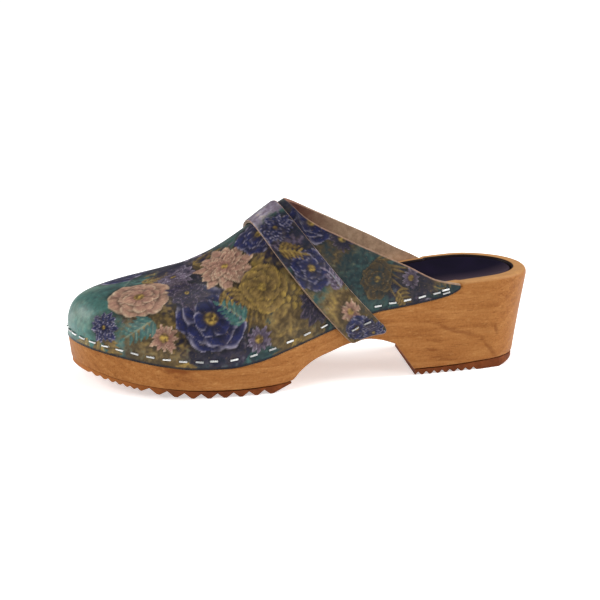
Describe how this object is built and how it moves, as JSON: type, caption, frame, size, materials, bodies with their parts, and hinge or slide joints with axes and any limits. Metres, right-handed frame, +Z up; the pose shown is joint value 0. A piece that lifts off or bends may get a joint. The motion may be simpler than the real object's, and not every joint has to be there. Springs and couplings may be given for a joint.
{
  "type": "open-back clog",
  "caption": "Left open-back clog: carved wood sole with ribbed rubber treads, stapled printed-leather upper, instep strap and insole; stands flat on its sole.",
  "frame": {"origin": "middle of the shoe's box in plan, on the floor it stands on", "axes": "+X from heel to toe, +Y to the wearer's left (the outer side of this left shoe), +Z up"},
  "size_m": [0.2614, 0.0974, 0.0963],
  "materials": {
    "wood": "satin",
    "printed_leather": "satin, printed with flowers",
    "insole_leather": "satin",
    "rubber": "matte",
    "steel": "bright"
  },
  "bodies": {
    "root": {"wood_sole": "wood", "insole": "insole_leather", "upper": "printed_leather", "strap": "printed_leather", "forefoot_tread": "rubber", "heel_tread": "rubber", "staple_00": "steel", "staple_01": "steel", "staple_02": "steel", "staple_03": "steel", "staple_04": "steel", "staple_05": "steel", "staple_06": "steel", "staple_07": "steel", "staple_08": "steel", "staple_09": "steel", "staple_10": "steel", "staple_11": "steel", "staple_12": "steel", "staple_13": "steel", "staple_14": "steel", "staple_15": "steel", "staple_16": "steel", "staple_17": "steel", "staple_18": "steel", "staple_19": "steel", "staple_20": "steel", "staple_21": "steel", "staple_22": "steel", "staple_23": "steel", "staple_24": "steel", "staple_25": "steel", "staple_26": "steel", "staple_27": "steel", "staple_28": "steel", "staple_29": "steel", "staple_30": "steel", "staple_31": "steel", "staple_32": "steel", "staple_33": "steel", "staple_34": "steel", "staple_35": "steel", "staple_36": "steel", "staple_37": "steel", "staple_38": "steel", "staple_39": "steel", "staple_40": "steel", "staple_41": "steel", "staple_42": "steel", "staple_43": "steel", "staple_44": "steel", "staple_45": "steel", "staple_46": "steel", "staple_47": "steel", "strap_staple_00": "steel", "strap_staple_01": "steel", "strap_staple_02": "steel", "strap_staple_03": "steel"}
  },
  "joints": []
}
